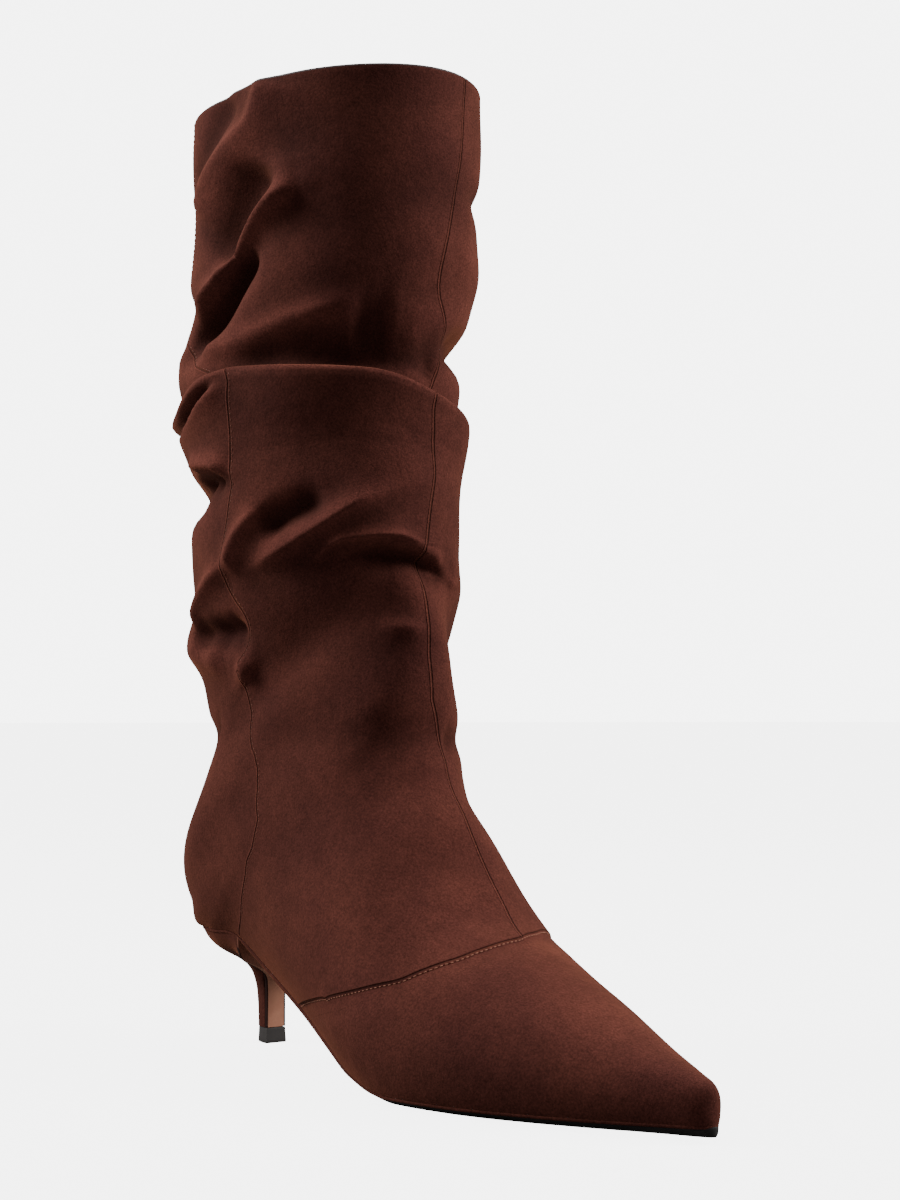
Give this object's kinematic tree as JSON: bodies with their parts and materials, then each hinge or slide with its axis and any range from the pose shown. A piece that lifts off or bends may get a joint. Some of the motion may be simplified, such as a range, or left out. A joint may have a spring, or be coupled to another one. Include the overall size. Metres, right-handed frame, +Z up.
{
  "type": "slouch boot",
  "caption": "Mid-calf slouch boot in brown suede with a folded shaft, pointed toe and covered kitten heel.",
  "frame": {"origin": "middle of the heel's top piece at the floor", "axes": "+X to the toe, +Y to the inner (medial) side, +Z up"},
  "size_m": [0.2941, 0.1092, 0.3694],
  "materials": {
    "suede": "napped suede, dull",
    "lining": "smooth tan leather, satin",
    "sole": "fine matt black"
  },
  "bodies": {
    "root": {"upper": "suede", "insole": "lining", "outsole": "sole", "heel": "suede", "heel_breast": "lining", "top_piece": "sole"}
  },
  "joints": []
}
